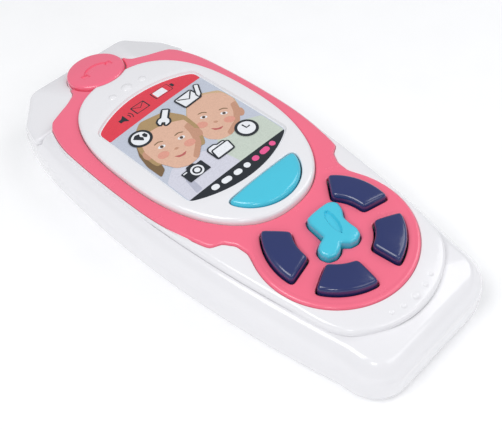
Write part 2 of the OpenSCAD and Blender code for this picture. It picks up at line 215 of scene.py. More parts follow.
def moulded(outer, top, low, edge=1.0, holes=(), hole_edge=0.4, pockets=(), spacing=1.8, dense=(), steps=5):
    """Closed moulded piece with rounded top edges.

    outer and holes are loops, top(x, y) and low(x, y) give the heights, pockets are (loop, depth, slope)
    recesses, and dense holds further points where the surface needs them."""
    verts, faces, rims, bases = [], [], [], []

    def wall(loop, sign, radius):
        rings = [[(x, y, low(x, y)) for x, y in loop]]
        for k in range(steps + 1):
            t = math.pi / 2 * k / steps
            ring = shifted(loop, sign * radius * (1 - math.cos(t))) if k else loop
            rings.append([(x, y, top(x, y) - radius * (1 - math.sin(t))) for x, y in ring])
        n = len(loop)
        start = len(verts)
        for ring in rings:
            verts.extend(ring)
        for k in range(len(rings) - 1):
            for i in range(n):
                a, b = start + k * n + i, start + k * n + (i + 1) % n
                faces.append((a, b, b + n, a + n))
        bases.append([start + i for i in range(n)])
        rims.append([start + (len(rings) - 1) * n + i for i in range(n)])

    wall(outer, 1, edge)
    for hole in holes:
        wall(hole, -1, hole_edge)
    rim_loops = [[verts[i][:2] for i in rim] for rim in rims]
    pocket_loops = []
    for loop, depth, slope in pockets:
        pocket_loops += [loop, shifted(loop, slope)]
    loops = [rim_loops[0]] + pocket_loops + rim_loops[1:]
    extra = grid_points(loops, spacing)
    extra += list(dense)
    points, tris = surface(loops, len(holes), extra)
    index = list(rims[0])
    index += [None] * sum(len(loop) for loop in pocket_loops)
    for rim in rims[1:]:
        index += rim
    index += [None] * (len(points) - len(index))
    fresh = [i for i, v in enumerate(index) if v is None]
    places = np.array([points[i] for i in fresh]).reshape(-1, 2)
    heights = np.array([top(x, y) for x, y in places])
    for loop, depth, slope in pockets:
        inner = shifted(loop, slope * 0.98)
        heights -= depth * inside(places, inner)
    for i, (x, y), z in zip(fresh, places.tolist(), heights.tolist()):
        index[i] = len(verts)
        verts.append((x, y, z))
    faces.extend(tuple(index[i] for i in t) for t in tris)
    base_loops = [[verts[i][:2] for i in base] for base in bases]
    points, tris = surface(base_loops, len(holes), [])
    flat = [i for base in bases for i in base]
    if len(points) == len(flat):
        faces.extend(tuple(flat[i] for i in reversed(t)) for t in tris)
    return verts, faces


def level(z):
    """Height function of a flat surface."""
    return lambda x, y: z


def band(first, second, n):
    """Faces between two closed rings of n vertices that start at the given vertex numbers."""
    return [(first + i, first + (i + 1) % n, second + (i + 1) % n, second + i) for i in range(n)]


def lofted(rings):
    """Closed solid through rings of the same number of points."""
    n = len(rings[0])
    verts = [p for ring in rings for p in ring]
    faces = [tuple(range(n)), tuple((len(rings) - 1) * n + i for i in reversed(range(n)))]
    for k in range(len(rings) - 1):
        faces += band(k * n, (k + 1) * n, n)
    return verts, faces


# ---------------------------------------------------------------- plan outlines of the phone
def top_pinch(y):
    return 1.6 * ((y - 45) / 20) ** 2 if y > 45 else 0.0


def body_right(inset):
    """Right half of the body outline from the keypad end to the top end."""
    corner = max(10 - inset, 1.0)
    corner_x = side_x(-62.5, inset) - corner
    low = -HALF_LENGTH + inset + corner
    side_top = 63.5 - inset * 0.4
    pts = arc((corner_x, low), corner, -90, -8, 16)
    for i in range(1, 45):
        y = low + (side_top - low) * i / 44
        pts.append((side_x(y, inset) - top_pinch(y), y))
    end = HALF_LENGTH - inset
    flat = 19 - inset * 0.4
    for i in range(1, 9):
        t = i / 8
        pts.append((pts[60][0] * (1 - t) + (flat + 1) * t, side_top * (1 - t) + (end - 0.6) * t))
    pts.append((flat, end - 0.12))
    pts.append((flat - 1.2, end))
    return pts


def body_ring(inset, z):
    return [(x, y, z) for x, y in both_sides(body_right(inset))]


def pink_x(y):
    x = side_x(y, 4.6)
    if y < 5:
        x -= 1.7 * ((5 - y) / 21.6) ** 2
    if y > 38:
        x -= 2.4 * ((y - 38) / 14.5) ** 2
    return x


def pink_right():
    """Outer edge of the pink frame, right half, from the keypad end to the call button's side."""
    right = arc(KEYPAD, KEYPAD_RADIUS, -90, 24, 40)
    right += [(19.0, -27.8), (19.3, -24.0), (21.2, -20.8), (24.0, -19.2)]
    right += [(pink_x(y), y) for y in np.linspace(-18, 50.8, 50).tolist()]
    return right + [(23.4, 53.0), (16, 55.8), (12.1, 58.0), (11.1, 59.5), (10.9, 60.9)]


def oval_below_call(grow, bite):
    """The bezel oval outside the call button's circle, from the left meeting point round to the right one."""
    pts = [p for p in resampled(oval(grow), 0.4) if math.dist(p, CALL) > bite]
    start = max(range(len(pts)), key=lambda i: math.dist(pts[i], pts[i - 1]))
    return pts[start:] + pts[:start]


def call_angle(point):
    return math.degrees(math.atan2(point[1] - CALL[1], point[0] - CALL[0])) % 360


def pink_outline():
    """The pink frame is a horseshoe: open at the call button, round the oval bezel, closed at the keypad."""
    bite = CALL_RADIUS + GAP
    rim = oval_below_call(0.05, bite)
    loop = pink_right()
    loop += arc(CALL, bite, ARM_END, call_angle(rim[-1]) - 360, 24)
    loop += rim[-2:0:-1]
    loop += arc(CALL, bite, call_angle(rim[0]), 180 - ARM_END, 24)
    loop += [(-x, y) for x, y in reversed(pink_right())]
    return softened(loop, 0.7, 0.5)


def pink_opening():
    """Hole of the white front for the pink frame and the call button."""
    right = pink_right() + arc(CALL, CALL_RADIUS + GAP, ARM_END + 6, 90, 24)
    return shifted(softened(both_sides(right), 0.8, 0.5), -0.08)


def front_x(y):
    x = side_x(y, 4.6)
    if y > 38:
        x -= 2.4 * ((y - 38) / 14.5) ** 2
    return x


def oval(grow=0.0, steps=170):
    """Rounded outline of the white bezel."""
    pts = []
    for i in range(steps):
        a = 2 * math.pi * i / steps
        n, b = (2.6, 38.0) if math.sin(a) > 0 else (2.3, 42.0)
        x = math.copysign((24.4 + grow) * abs(math.cos(a)) ** (2 / n), math.cos(a))
        y = 16 + math.copysign((b + grow) * abs(math.sin(a)) ** (2 / n), math.sin(a))
        pts.append((x, y))
    return pts


def bezel_outline():
    """The oval with the round bite for the call button."""
    bite = CALL_RADIUS + GAP
    rim = oval_below_call(-0.05, bite)
    loop = rim + arc(CALL, bite, call_angle(rim[-1]), call_angle(rim[0]), 30)[1:-1]
    return softened(loop, 0.7, 0.5)


def screen_outline(grow=0.0):
    """Barrel-shaped screen with arched ends."""
    half = 18.5 + grow
    rise = 33.5 + grow
    top = [(x, 6.7 + math.sqrt(rise**2 - x * x)) for x in np.linspace(half, -half, 30).tolist()]
    bottom = [(x, 22.6 - math.sqrt(rise**2 - x * x)) for x in np.linspace(-half, half, 30).tolist()]
    return softened(top + bottom, 0.6, 1.9)


def crescent_outline(grow=0.0):
    center, radius, chord = (0.3, -10.5), 12.8, -13.4
    half = math.degrees(math.acos((center[1] - chord) / radius))
    pts = arc(center, radius, -90 - half, -90 + half, 40)
    return shifted(softened(pts, 0.6, 2.5), -grow)


def note_outline(grow=0.0):
    """Two joined musical notes leaning to the right."""
    pts = [(-3.1, 5.4), (-2.3, 6.9), (-0.4, 7.1), (2.6, 7.1), (5.3, 6.9), (6.7, 6.0), (7.2, 4.6), (6.4, 2.6),
           (4.5, 0.4), (4.2, -1.8), (4.3, -4.2), (3.5, -5.9), (1.7, -6.5), (-0.3, -6.0), (-2.0, -4.3),
           (-3.5, -5.4), (-5.4, -5.8), (-7.3, -5.0), (-8.0, -3.1), (-7.5, -1.4), (-6.0, -0.6), (-3.7, 0.1),
           (-3.4, 2.6)]
    loop = softened(moved(pts, *KEYPAD), 0.45, 0.55)
    return shifted(loop, -grow)


def key_outline(angles, right, grow=0.0):
    """Ring segment with rounded corners between two angles."""
    inner, outer = 10.5 - grow, 18.3 + grow
    spread_in = math.degrees(grow / inner)
    spread_out = math.degrees(grow / outer)
    pts = arc((0, 0), outer, angles[0] - spread_out, angles[1] + spread_out, 30)
    pts += arc((0, 0), inner, angles[1] - 3 + spread_in, angles[0] + 3 - spread_in, 20)
    if right:
        pts = [(-x, y) for x, y in pts]
    return softened(moved(pts, *KEYPAD), 0.5, 1.6)


UPPER_KEY = (134, 189)
LOWER_KEY = (208, 258)


# ---------------------------------------------------------------- materials
def new_material(name, color, roughness, metallic=0.0):
    mat = bpy.data.materials.new(name)
    mat.use_nodes = True
    shader = mat.node_tree.nodes["Principled BSDF"]
    shader.inputs["Base Color"].default_value = (*color, 1)
    shader.inputs["Roughness"].default_value = roughness
    shader.inputs["Metallic"].default_value = metallic
    return mat, mat.node_tree, shader


def object_coords(tree, stretch=(1, 1, 1)):
    coords = tree.nodes.new("ShaderNodeTexCoord")
    mapping = tree.nodes.new("ShaderNodeMapping")
    mapping.inputs["Scale"].default_value = stretch
    tree.links.new(coords.outputs["Object"], mapping.inputs["Vector"])
    return mapping.outputs["Vector"]


def noise(tree, vector, scale, detail=3.0, rough=0.5):
    node = tree.nodes.new("ShaderNodeTexNoise")
    node.inputs["Scale"].default_value = scale
    node.inputs["Detail"].default_value = detail
    node.inputs["Roughness"].default_value = rough
    tree.links.new(vector, node.inputs["Vector"])
    return node.outputs["Fac"]


def ranged(tree, value, low, high, start=0.3, end=0.7):
    """Maps a noise value from start..end to low..high."""
    node = tree.nodes.new("ShaderNodeMapRange")
    node.inputs["From Min"].default_value = start
    node.inputs["From Max"].default_value = end
    node.inputs["To Min"].default_value = low
    node.inputs["To Max"].default_value = high
    tree.links.new(value, node.inputs["Value"])
    return node.outputs["Result"]


def ramp(tree, value, stops):
    node = tree.nodes.new("ShaderNodeValToRGB")
    while len(node.color_ramp.elements) < len(stops):
        node.color_ramp.elements.new(0.5)
    for element, (at, color) in zip(node.color_ramp.elements, stops):
        element.position = at
        element.color = (*color, 1)
    tree.links.new(value, node.inputs["Fac"])
    return node.outputs["Color"]


def bump(tree, shader, height, strength, depth):
    node = tree.nodes.new("ShaderNodeBump")
    node.inputs["Strength"].default_value = strength
    node.inputs["Distance"].default_value = depth
    tree.links.new(height, node.inputs["Height"])
    tree.links.new(node.outputs["Normal"], shader.inputs["Normal"])


def tint(color, factor):
    return tuple(min(1.0, c * factor) for c in color)


def moulded_plastic(name, color, rough, coat=0.15, spread=0.04, soft=0.0):
    """Glossy injection-moulded plastic: faint flow shading, uneven gloss, hairline scratches."""
    mat, tree, shader = new_material(name, color, rough)
    coords = object_coords(tree)
    flow = noise(tree, coords, 38, 4, 0.6)
    shades = ramp(tree, flow, [(0.3, tint(color, 1 - spread)), (0.5, color), (0.72, tint(color, 1 + spread))])
    tree.links.new(shades, shader.inputs["Base Color"])
    smudge = noise(tree, coords, 120, 5, 0.62)
    tree.links.new(ranged(tree, smudge, rough * 0.8, rough * 1.35), shader.inputs["Roughness"])
    scratches = noise(tree, object_coords(tree, (1, 0.06, 1)), 1500, 2, 0.5)
    peel = noise(tree, coords, 420, 2, 0.5)
    both = tree.nodes.new("ShaderNodeMath")
    both.operation = "MULTIPLY_ADD"
    both.inputs[1].default_value = 0.35
    tree.links.new(scratches, both.inputs[0])
    tree.links.new(peel, both.inputs[2])
    bump(tree, shader, both.outputs["Value"], 0.05, 0.00002)
    shader.inputs["Coat Weight"].default_value = coat
    shader.inputs["Coat Roughness"].default_value = 0.06
    if soft:
        shader.inputs["Subsurface Weight"].default_value = soft
        shader.inputs["Subsurface Radius"].default_value = (0.002, 0.0015, 0.0012)
        shader.inputs["Subsurface Scale"].default_value = 0.6
    return mat


def printed_ink(name, color, rough=0.32):
    """Ink on the glossy label: fine screen grain and slightly uneven density."""
    mat, tree, shader = new_material(name, color, rough)
    coords = object_coords(tree)
    grain = noise(tree, coords, 2400, 2, 0.6)
    shades = ramp(tree, grain, [(0.25, tint(color, 0.9)), (0.5, color), (0.8, tint(color, 1.08))])
    tree.links.new(shades, shader.inputs["Base Color"])
    wave = noise(tree, coords, 160, 3, 0.5)
    tree.links.new(ranged(tree, wave, rough * 0.8, rough * 1.25), shader.inputs["Roughness"])
    bump(tree, shader, noise(tree, coords, 1500, 2, 0.5), 0.08, 0.00002)
    shader.inputs["Coat Weight"].default_value = 0.3
    shader.inputs["Coat Roughness"].default_value = 0.18
    return mat


def worn_metal(name, color, rough, stretch=(1, 1, 1)):
    """Plated steel: brushed grain, darker in patches."""
    mat, tree, shader = new_material(name, color, rough, 1.0)
    coords = object_coords(tree, stretch)
    patches = noise(tree, object_coords(tree), 260, 4, 0.6)
    shades = ramp(tree, patches, [(0.3, tint(color, 0.7)), (0.6, color), (0.8, tint(color, 1.1))])
    tree.links.new(shades, shader.inputs["Base Color"])
    grain = noise(tree, coords, 1400, 3, 0.6)
    tree.links.new(ranged(tree, grain, rough * 0.6, rough * 1.5), shader.inputs["Roughness"])
    bump(tree, shader, grain, 0.2, 0.00003)
    return mat


def matte_stuff(name, color, rough, scale, depth, spread=0.2):
    """Matte material with a fine surface: paper, silicone, epoxy, ferrite."""
    mat, tree, shader = new_material(name, color, rough)
    coords = object_coords(tree)
    grain = noise(tree, coords, scale, 4, 0.6)
    stops = [(0.25, tint(color, 1 - spread)), (0.5, color), (0.8, tint(color, 1 + spread))]
    shades = ramp(tree, grain, stops)
    tree.links.new(shades, shader.inputs["Base Color"])
    tree.links.new(ranged(tree, grain, rough * 0.8, min(1.0, rough * 1.2)), shader.inputs["Roughness"])
    bump(tree, shader, grain, 0.4, depth)
    return mat


def board_material():
    """Green solder mask with darker traces below it and glass weave."""
    green = (0.012, 0.12, 0.045)
    mat, tree, shader = new_material("green_board", green, 0.35)
    coords = object_coords(tree)
    cells = tree.nodes.new("ShaderNodeTexBrick")
    cells.inputs["Scale"].default_value = 95
    cells.inputs["Mortar Size"].default_value = 0.06
    cells.inputs["Color1"].default_value = (0.012, 0.11, 0.04, 1)
    cells.inputs["Color2"].default_value = (0.016, 0.13, 0.05, 1)
    cells.inputs["Mortar"].default_value = (0.03, 0.22, 0.08, 1)
    tree.links.new(coords, cells.inputs["Vector"])
    tree.links.new(cells.outputs["Color"], shader.inputs["Base Color"])
    weave = noise(tree, coords, 1900, 2, 0.5)
    tree.links.new(ranged(tree, weave, 0.28, 0.45), shader.inputs["Roughness"])
    bump(tree, shader, weave, 0.15, 0.00003)
    return mat


def sleeve_material():
    """Battery sleeve: dark band and warm foil band split along the cell, with printed grain."""
    mat, tree, shader = new_material("cell_sleeve", (0.5, 0.3, 0.05), 0.3, 0.6)
    coords = object_coords(tree)
    split = tree.nodes.new("ShaderNodeSeparateXYZ")
    tree.links.new(coords, split.inputs["Vector"])
    band = ramp(tree, ranged(tree, split.outputs["Y"], 0, 1, -0.001, 0.048), [
        (0.0, (0.55, 0.33, 0.06)), (0.3, (0.6, 0.36, 0.07)), (0.34, (0.012, 0.012, 0.014)),
        (0.97, (0.02, 0.02, 0.022))])
    tree.links.new(band, shader.inputs["Base Color"])
    grain = noise(tree, coords, 1300, 3, 0.5)
    tree.links.new(ranged(tree, grain, 0.22, 0.42), shader.inputs["Roughness"])
    bump(tree, shader, grain, 0.1, 0.00002)
    return mat


def srgb(r, g, b):
    """Linear colour from 8-bit screen values."""
    return tuple((c / 255 / 12.92) if c < 10.3 else ((c / 255 + 0.055) / 1.055) ** 2.4 for c in (r, g, b))


WHITE = moulded_plastic("white_plastic", srgb(239, 238, 241), 0.18, 0.4, 0.01)
PINK = moulded_plastic("pink_plastic", srgb(248, 112, 139), 0.22, 0.4, 0.02)
NAVY = moulded_plastic("navy_plastic", srgb(34, 47, 102), 0.2, 0.5, 0.06)
CYAN = moulded_plastic("cyan_plastic", srgb(72, 200, 226), 0.2, 0.5, 0.03)
DARK = moulded_plastic("black_plastic", (0.012, 0.012, 0.014), 0.4, 0.05, 0.2)
GREY = moulded_plastic("dark_grey_plastic", (0.06, 0.06, 0.065), 0.4, 0.05, 0.15)
SILICONE = matte_stuff("silicone_rubber", (0.42, 0.44, 0.44), 0.55, 900, 0.00003, 0.06)
BOARD = board_material()
EPOXY = matte_stuff("black_epoxy", (0.01, 0.01, 0.011), 0.3, 500, 0.00005)
PAPER = matte_stuff("speaker_paper", (0.03, 0.03, 0.032), 0.85, 1600, 0.00006)
FERRITE = matte_stuff("ferrite_magnet", (0.05, 0.05, 0.055), 0.6, 900, 0.00005)
STEEL = worn_metal("steel_plate", (0.55, 0.55, 0.56), 0.32, (1, 8, 1))
BRIGHT = worn_metal("bright_steel", (0.7, 0.69, 0.67), 0.24, (1, 1, 6))
SLEEVE = sleeve_material()
RED_WIRE = moulded_plastic("red_wire_cover", (0.5, 0.02, 0.02), 0.45, 0.0, 0.1)
BLACK_WIRE = moulded_plastic("black_wire_cover", (0.015, 0.015, 0.015), 0.45, 0.0, 0.1)
YELLOW_WIRE = moulded_plastic("yellow_wire_cover", (0.6, 0.42, 0.03), 0.45, 0.0, 0.1)


# ---------------------------------------------------------------- heights of the front
def smooth(t):
    t = min(1.0, max(0.0, t))
    return t * t * (3 - 2 * t)


def forehead_z(x, y):
    """The top end: a middle band that curves down to the end, with a flat facet towards each corner."""
    u = max(0.0, (y - 50) / 24)
    middle = 18.9 - 3.7 * u**1.7
    facet = 18.27 - 0.29 * (abs(x) - 13.4) - 0.125 * (y - 58.5)
    k = 0.35
    h = max(k - abs(middle - facet), 0) / k
    return min(middle, facet) - h * h * k / 4


def plateau_top(x, y):
    """White surface round the pink frame, from the keypad end to the forehead."""
    deck = 20.6 - crown(x, y)
    blend = smooth((y - 49) / 6)
    return deck * (1 - blend) + min(deck, forehead_z(x, y)) * blend


def below_face(depth):
    """Height function of a surface that runs at a depth below the crowned front."""
    return lambda x, y: FACE_Z - depth - crown(x, y)


def pink_top(x, y):
    return FACE_Z + 0.15 - crown(x, y)


def bezel_top(x, y):
    return 22.75 - long_crown(y) - 0.6 * (x / 24.4) ** 2


# ---------------------------------------------------------------- the shells
def shell_rise(inset):
    """Height of the rear cover's surface at a given distance inside the outline."""
    if inset < 4.5:
        t = math.acos(1 - inset / 4.5)
        return 8 + 9.6 * math.sin(t)
    return 17.6 + 0.1 * (inset - 4.5)


def rear_rings():
    rings = []
    for k in range(9):
        t = math.pi / 2 * k / 8
        rings.append(body_ring(3 * (1 - math.sin(t)), 3 * (1 - math.cos(t))))
    rings.append(body_ring(0, 5.5))
    rings.append(body_ring(0, 8))
    for k in range(1, 19):
        t = math.pi / 2 * k / 18
        rings.append(body_ring(4.5 * (1 - math.cos(t)), 8 + 9.6 * math.sin(t)))
    for inset in (5.5, 7, 9, 11, 13):
        rings.append(body_ring(inset, shell_rise(inset)))
    out = []
    for ring in rings:
        out.append([(x, y, z - crown(x, y) * smooth((z - 8) / 9) * 0.8) for x, y, z in ring])
    return out


def prism(loop, low, high):
    """Closed straight-sided solid on a loop."""
    return lofted([[(x, y, low) for x, y in loop], [(x, y, high) for x, y in loop]])


def box_solid(x0, x1, y0, y1, z0, z1):
    return prism([(x0, y0), (x1, y0), (x1, y1), (x0, y1)], z0, z1)


def joined(parts):
    """One vertex and face list from several."""
    verts, faces = [], []
    for part_verts, part_faces in parts:
        start = len(verts)
        verts += part_verts
        faces += [tuple(i + start for i in f) for f in part_faces]
    return verts, faces


def cut_out(name, body, cutters, material, rider, slot, sharp=38):
    """Mesh object of `body` with every cutter taken away, baked to plain mesh data."""
    base = make(name, *body, material, rider, slot, sharp)
    tool = make(name + "_cutter", *joined(cutters), material, rider, slot, sharp)
    mod = base.modifiers.new("cut", "BOOLEAN")
    mod.operation = "DIFFERENCE"
    mod.solver = "EXACT"
    mod.use_self = True
    mod.object = tool
    bpy.context.view_layer.update()
    depsgraph = bpy.context.evaluated_depsgraph_get()
    mesh = bpy.data.meshes.new_from_object(base.evaluated_get(depsgraph))
    base.modifiers.clear()
    base.data = mesh
    mesh.name = name
    bpy.data.objects.remove(tool)
    finish_mesh(mesh, sharp)
    return base


def front_side(grow, end_y):
    """Right edge of the white front: keypad arc, an easy curve, then the long side up to end_y."""
    radius = PLATEAU_RADIUS + grow
    right = arc(PLATEAU, radius, -90, -50, 26)
    start, end = right[-1], (front_x(-44) + grow, -44)
    turn = math.radians(-50)
    leave = (start[0] - 6 * math.sin(turn), start[1] + 6 * math.cos(turn))
    reach = (end[0] - 6 * 0.185, end[1] - 6 * 0.983)
    for i in range(1, 13):
        t = i / 13
        weights = ((1 - t) ** 3, 3 * t * (1 - t) ** 2, 3 * t * t * (1 - t), t**3)
        x = sum(w * p[0] for w, p in zip(weights, (start, leave, reach, end)))
        y = sum(w * p[1] for w, p in zip(weights, (start, leave, reach, end)))
        right.append((x, y))
    return right + [(front_x(y) + grow, y) for y in np.linspace(end[1], end_y, 80).tolist()]


def front_footprint():
    """Plan area that the front cover takes out of the rear cover."""
    return both_sides(front_side(0.08, FOREHEAD_Y + 0.1))


def build_rear_cover():
    outer = lofted(rear_rings())
    inner_rings = [body_ring(2 + max(0, 3.4 - z) * 0.6, z) for z in (2, 3.4, 8)]
    inner_rings += [body_ring(2 + 4.5 * (1 - math.cos(math.radians(t))), 8 + 6.6 * math.sin(math.radians(t)))
                    for t in (20, 40, 60, 80, 90)]
    rim = resampled(front_footprint(), 0.8)
    cutters = [lofted(inner_rings), prism(rim, 15.8, 30), prism(shifted(rim, 1.2), 14, 30)]
    cutters.append(forehead_cutter())
    cutters.append(box_solid(-15.65, 15.65, -4.1, 57.05, -1, 1.45))
    for x in (-9, 9):
        cutters.append(box_solid(x - 3.4, x + 3.4, -6.6, -3, -1, 2.6))
    for x, y in CASE_POSTS:
        cutters.append(prism(circle((x, y), 2.5, 40), -1, 5))
    cutters.append(prism(circle(DOOR_POST, 3.6, 40), -1, 4.6))
    cutters.append(box_solid(-4.6, 4.6, -18.3, -13.7, -1, 3))
    cutters.append(box_solid(-13, 13, -2, 48, -1, 6))
    for ring in range(4):
        for i in range(max(1, ring * 6)):
            a = math.radians(60 * i / max(1, ring))
            spot = (3.2 * ring * math.cos(a), -42 + 3.2 * ring * math.sin(a))
            cutters.append(prism(circle(spot, 0.9, 20), -1, 3))
    cover = cut_out("rear_shell", outer, cutters, WHITE, "casing", "white_shell", 34)
    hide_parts("rear_cover")
    inside_parts = [hollow_box(-14.5, 14.5, -3.5, 49.5, 1.4, 14.2, 1.5)]
    for x, y in CASE_POSTS:
        inside_parts.append(tube_solid((x, y), 2.8, 1.3, 5, 9.9))
        inside_parts.append(tube_solid((x, y), 2.9, 2.5, 0.6, 5.2))
    inside_parts.append(tube_solid(DOOR_POST, 4.2, 3.6, 1.5, 5))
    inside_parts.append(tube_solid(DOOR_POST, 3.9, 1.4, 4.6, 9))
    make("rear_inner_walls", *joined(inside_parts), WHITE, "casing", "white_shell")


CASE_POSTS = ((-20.5, 52), (20.5, 52), (-13, -59.5), (13, -59.5))
DOOR_POST = (0, 53)


def tube_solid(center, outer, inner, low, high):
    """Upright tube."""
    rings = [[(x, y, z) for x, y in circle(center, r, 40)]
             for r, z in ((outer, low), (outer, high), (inner, high), (inner, low))]
    n = len(rings[0])
    verts = [p for ring in rings for p in ring]
    faces = []
    for k in range(4):
        faces += band(k * n, (k + 1) % 4 * n, n)
    return verts, faces


def hollow_box(x0, x1, y0, y1, z0, z1, wall):
    """Box open at its low side."""
    def corners(d, z):
        return [(x0 + d, y0 + d, z), (x1 - d, y0 + d, z), (x1 - d, y1 - d, z), (x0 + d, y1 - d, z)]
    verts = corners(0, z0) + corners(0, z1) + corners(wall, z1 - wall) + corners(wall, z0)
    faces = [(4, 5, 6, 7), (11, 10, 9, 8)]
    for a, b in ((0, 4), (8, 12), (12, 0)):
        faces += [(a + i, a + (i + 1) % 4, b + (i + 1) % 4, b + i) for i in range(4)]
    return verts, faces


def forehead_cutter():
    """Space above the joint line of the two covers at the top end."""
    profile = [(FOREHEAD_Y, 30), (FOREHEAD_Y, SEAM_Z), (80, SEAM_Z), (80, 30)]
    return lofted([[(x, y, z) for y, z in profile] for x in (-40, 40)])


def seam_low(x, y):
    """Lower edge of the front cover's outer wall."""
    return 15.6 if y < FOREHEAD_Y - 1.1 else SEAM_Z + 0.08


def front_outline():
    """Outer edge of the white front: keypad arc, long sides, then the full width of the top end."""
    right = front_side(-0.05, FOREHEAD_Y - 1.0)
    top_right = [p for p in body_right(0.55) if p[1] > FOREHEAD_Y - 0.8]
    right += top_right
    return softened(both_sides(right), 0.8, 0.45)


def dimple_points():
    """Places of the five microphone dimples with their radii."""
    spots = []
    for x, r in ((0, 1.0), (-4.1, 0.72), (4.1, 0.72), (-7.4, 0.62), (7.4, 0.62)):
        spots.append(((x, PLATEAU[1] - math.sqrt(23.2**2 - x * x)), r))
    return spots


def build_front_cover():
    dimples = dimple_points()

    def top(x, y):
        z = plateau_top(x, y)
        for (cx, cy), r in dimples:
            d = math.hypot(x - cx, y - cy) / r
            if d < 1:
                z -= 0.42 * r * (1 - d * d)
        return z

    dense = []
    for center, r in dimples:
        dense.append(center)
        for share, count in ((0.45, 8), (0.8, 12), (1.02, 16), (1.3, 16)):
            dense += circle(center, r * share, count)
    for t in np.linspace(0, 1, 30).tolist():
        for s in (-1, 1):
            for d in (-0.5, 0, 0.5):
                dense.append((s * (13.4 + 4.6 * t + d), 58.5 + 14.6 * t))
    verts, faces = moulded(front_outline(), top, seam_low, 1.1, [pink_opening()], 0.25,
                           spacing=1.3, dense=dense)
    front = make("front_shell", verts, faces, WHITE, "casing", "white_shell", 40)
    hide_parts("front_cover")
    return front


def build_deck():
    """The moulded floor under the pink frame, with a hole for each button."""
    outline = shifted(front_outline_low(), 1.6)
    holes = [key_outline(a, right, GAP) for a in (UPPER_KEY, LOWER_KEY) for right in (False, True)]
    holes += [note_outline(GAP), crescent_outline(GAP), circle(CALL, 6.85, 48)]
    verts, faces = moulded(outline, below_face(1.25), below_face(2.7), 0.2, holes, 0.2, spacing=3)
    make("front_deck", verts, faces, WHITE, "casing", "white_shell")


def front_outline_low():
    right = front_side(0, 52.4)
    right += arc(CALL, 11.4, -10, 90, 20)
    return softened(both_sides(right), 0.8, 0.6)


PAD_RECESS = 0.14


def build_pink_frame():
    def top(x, y):
        reach = math.dist((x, y), KEYPAD)
        raised = smooth((reach - 20.2) / 0.7)
        if y >= -20:
            raised = max(raised, smooth((y + 20) / 4))
        return pink_top(x, y) - PAD_RECESS * (1 - raised)

    def low(x, y):
        return plateau_top(x, y) - 0.9

    dense = []
    for r in (20.05, 20.3, 20.55, 20.8, 21.0):
        dense += [p for p in circle(KEYPAD, r, 150) if p[1] < -20]
    holes = [key_outline(a, right, GAP) for a in (UPPER_KEY, LOWER_KEY) for right in (False, True)]
    holes.append(note_outline(GAP))
    verts, faces = moulded(pink_outline(), top, low, 0.75, holes, 0.35, spacing=1.3, dense=dense)
    frame_piece = make("pink_front_frame", verts, faces, PINK, "casing", "pink_plastic", 40)
    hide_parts("pink_frame")


def build_bezel():
    bumps = (((0, 44.7), 1.75, 0.55), ((-5.8, 44.3), 1.25, 0.42), ((5.8, 44.3), 1.25, 0.42))

    def top(x, y):
        z = bezel_top(x, y)
        for (cx, cy), r, high in bumps:
            d = math.hypot(x - cx, y - cy) / r
            if d < 1:
                z += high * math.sqrt(1 - d * d * 0.98) - high * 0.14 * d
        return z

    dense = []
    for center, r, _ in bumps:
        dense.append(center)
        for share, count in ((0.35, 8), (0.65, 14), (0.85, 20), (0.97, 24), (1.06, 24), (1.3, 16)):
            dense += circle(center, r * share, count)
    pockets = [(screen_outline(1.5), 0.12, 0.6), (screen_outline(0.45), 0.8, 0.4)]
    verts, faces = moulded(bezel_outline(), top, below_face(1.15), 1.35, [crescent_outline(GAP)], 0.4,
                           pockets, 1.4, dense, steps=7)
    bezel = make("bezel_shell", verts, faces, WHITE, "casing", "white_shell", 44)
    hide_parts("screen_bezel")


# ---------------------------------------------------------------- buttons
def domed(height, center, drop):
    """Height function of a button cap: follows the crowned front, a little lower towards its edge."""
    return lambda x, y: height - crown(x, y) - drop * ((x - center[0]) ** 2 + (y - center[1]) ** 2)


def middle(loop):
    pts = np.array(loop)
    return tuple(pts.mean(axis=0).tolist())


def build_keys():
    names = {(UPPER_KEY, False): "key_upper_left", (LOWER_KEY, False): "key_lower_left",
             (LOWER_KEY, True): "key_lower_right", (UPPER_KEY, True): "key_upper_right"}
    for (angles, right), name in names.items():
        loop = key_outline(angles, right)
        verts, faces = moulded(loop, domed(23.3, middle(loop), 0.006), level(17.3), 1.1, spacing=1.0, steps=7)
        key = make(name + "_cap", verts, faces, NAVY, name, "navy_plastic", 50)
        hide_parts(name)


def build_crescent():
    loop = crescent_outline()
    verts, faces = moulded(loop, domed(23.9, (0.3, -18.8), 0.005), level(17.3), 1.1, spacing=1.0, steps=7)
    cap = make("crescent_cap", verts, faces, CYAN, "crescent_button", "cyan_plastic", 50)
    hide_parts("crescent_button")


def build_note():
    leaf = [(0, -3.0), (1.3, -1.9), (2.45, 0.2), (3.2, 3.0), (3.2, 5.2), (2.0, 5.0), (0.6, 3.6), (-0.2, 1.2),
            (-0.4, -1.2)]
    leaf = softened(moved(leaf, *KEYPAD), 0.35, 0.6)
    verts, faces = moulded(note_outline(), domed(23.4, KEYPAD, 0.006), level(17.3), 1.0,
                           pockets=[(leaf, 0.7, 0.45)], spacing=0.8, steps=7)
    cap = make("note_cap", verts, faces, CYAN, "note_button", "cyan_plastic", 50)
    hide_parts("note_button")


